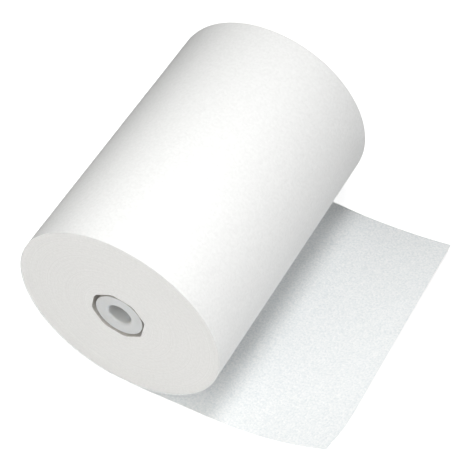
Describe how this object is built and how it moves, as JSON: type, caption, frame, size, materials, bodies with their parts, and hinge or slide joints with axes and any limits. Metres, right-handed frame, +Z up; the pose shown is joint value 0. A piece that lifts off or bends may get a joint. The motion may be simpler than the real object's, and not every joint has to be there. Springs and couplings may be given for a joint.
{
  "type": "industrial paper roll",
  "caption": "Wide roll of plain white paper on a small plastic core, lying on its side with a short loose end curled up at one corner.",
  "frame": {"origin": "centre of the core's bore, halfway along the roll", "axes": "+Y along the roll's axis towards its rear end, +X towards the loose end, +Z up from the surface the roll lies on"},
  "size_m": [0.1236, 0.1125, 0.0798],
  "materials": {
    "paper": "matte",
    "core_plastic": "satin"
  },
  "bodies": {
    "root": {"paper_roll": "paper", "core": "core_plastic"}
  },
  "joints": []
}
